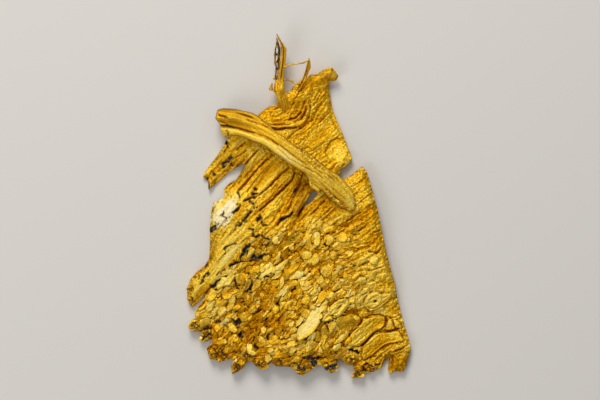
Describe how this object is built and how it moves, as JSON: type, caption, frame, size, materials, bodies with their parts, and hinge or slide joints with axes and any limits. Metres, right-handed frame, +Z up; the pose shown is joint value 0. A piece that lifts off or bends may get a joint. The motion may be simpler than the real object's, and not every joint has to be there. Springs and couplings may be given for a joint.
{
  "type": "mineral_specimen",
  "caption": "Native leaf gold: a ragged crinkled sheet with a folded striated band, a thin spike with wires, and a crust of lumps and nuggets, lying on its back",
  "frame": {"origin": "under the middle of the specimen's box, on the surface that it rests on", "axes": "+X across the sheet to the right, +Y along its length towards the spike, +Z up, out of the face that shows the band"},
  "size_m": [0.0652, 0.1, 0.0104],
  "materials": {
    "native_gold": "natural leaf gold, satin to bright, orange-brown in the hollows"
  },
  "bodies": {
    "root": {"leaf_gold": "native_gold"}
  },
  "joints": []
}
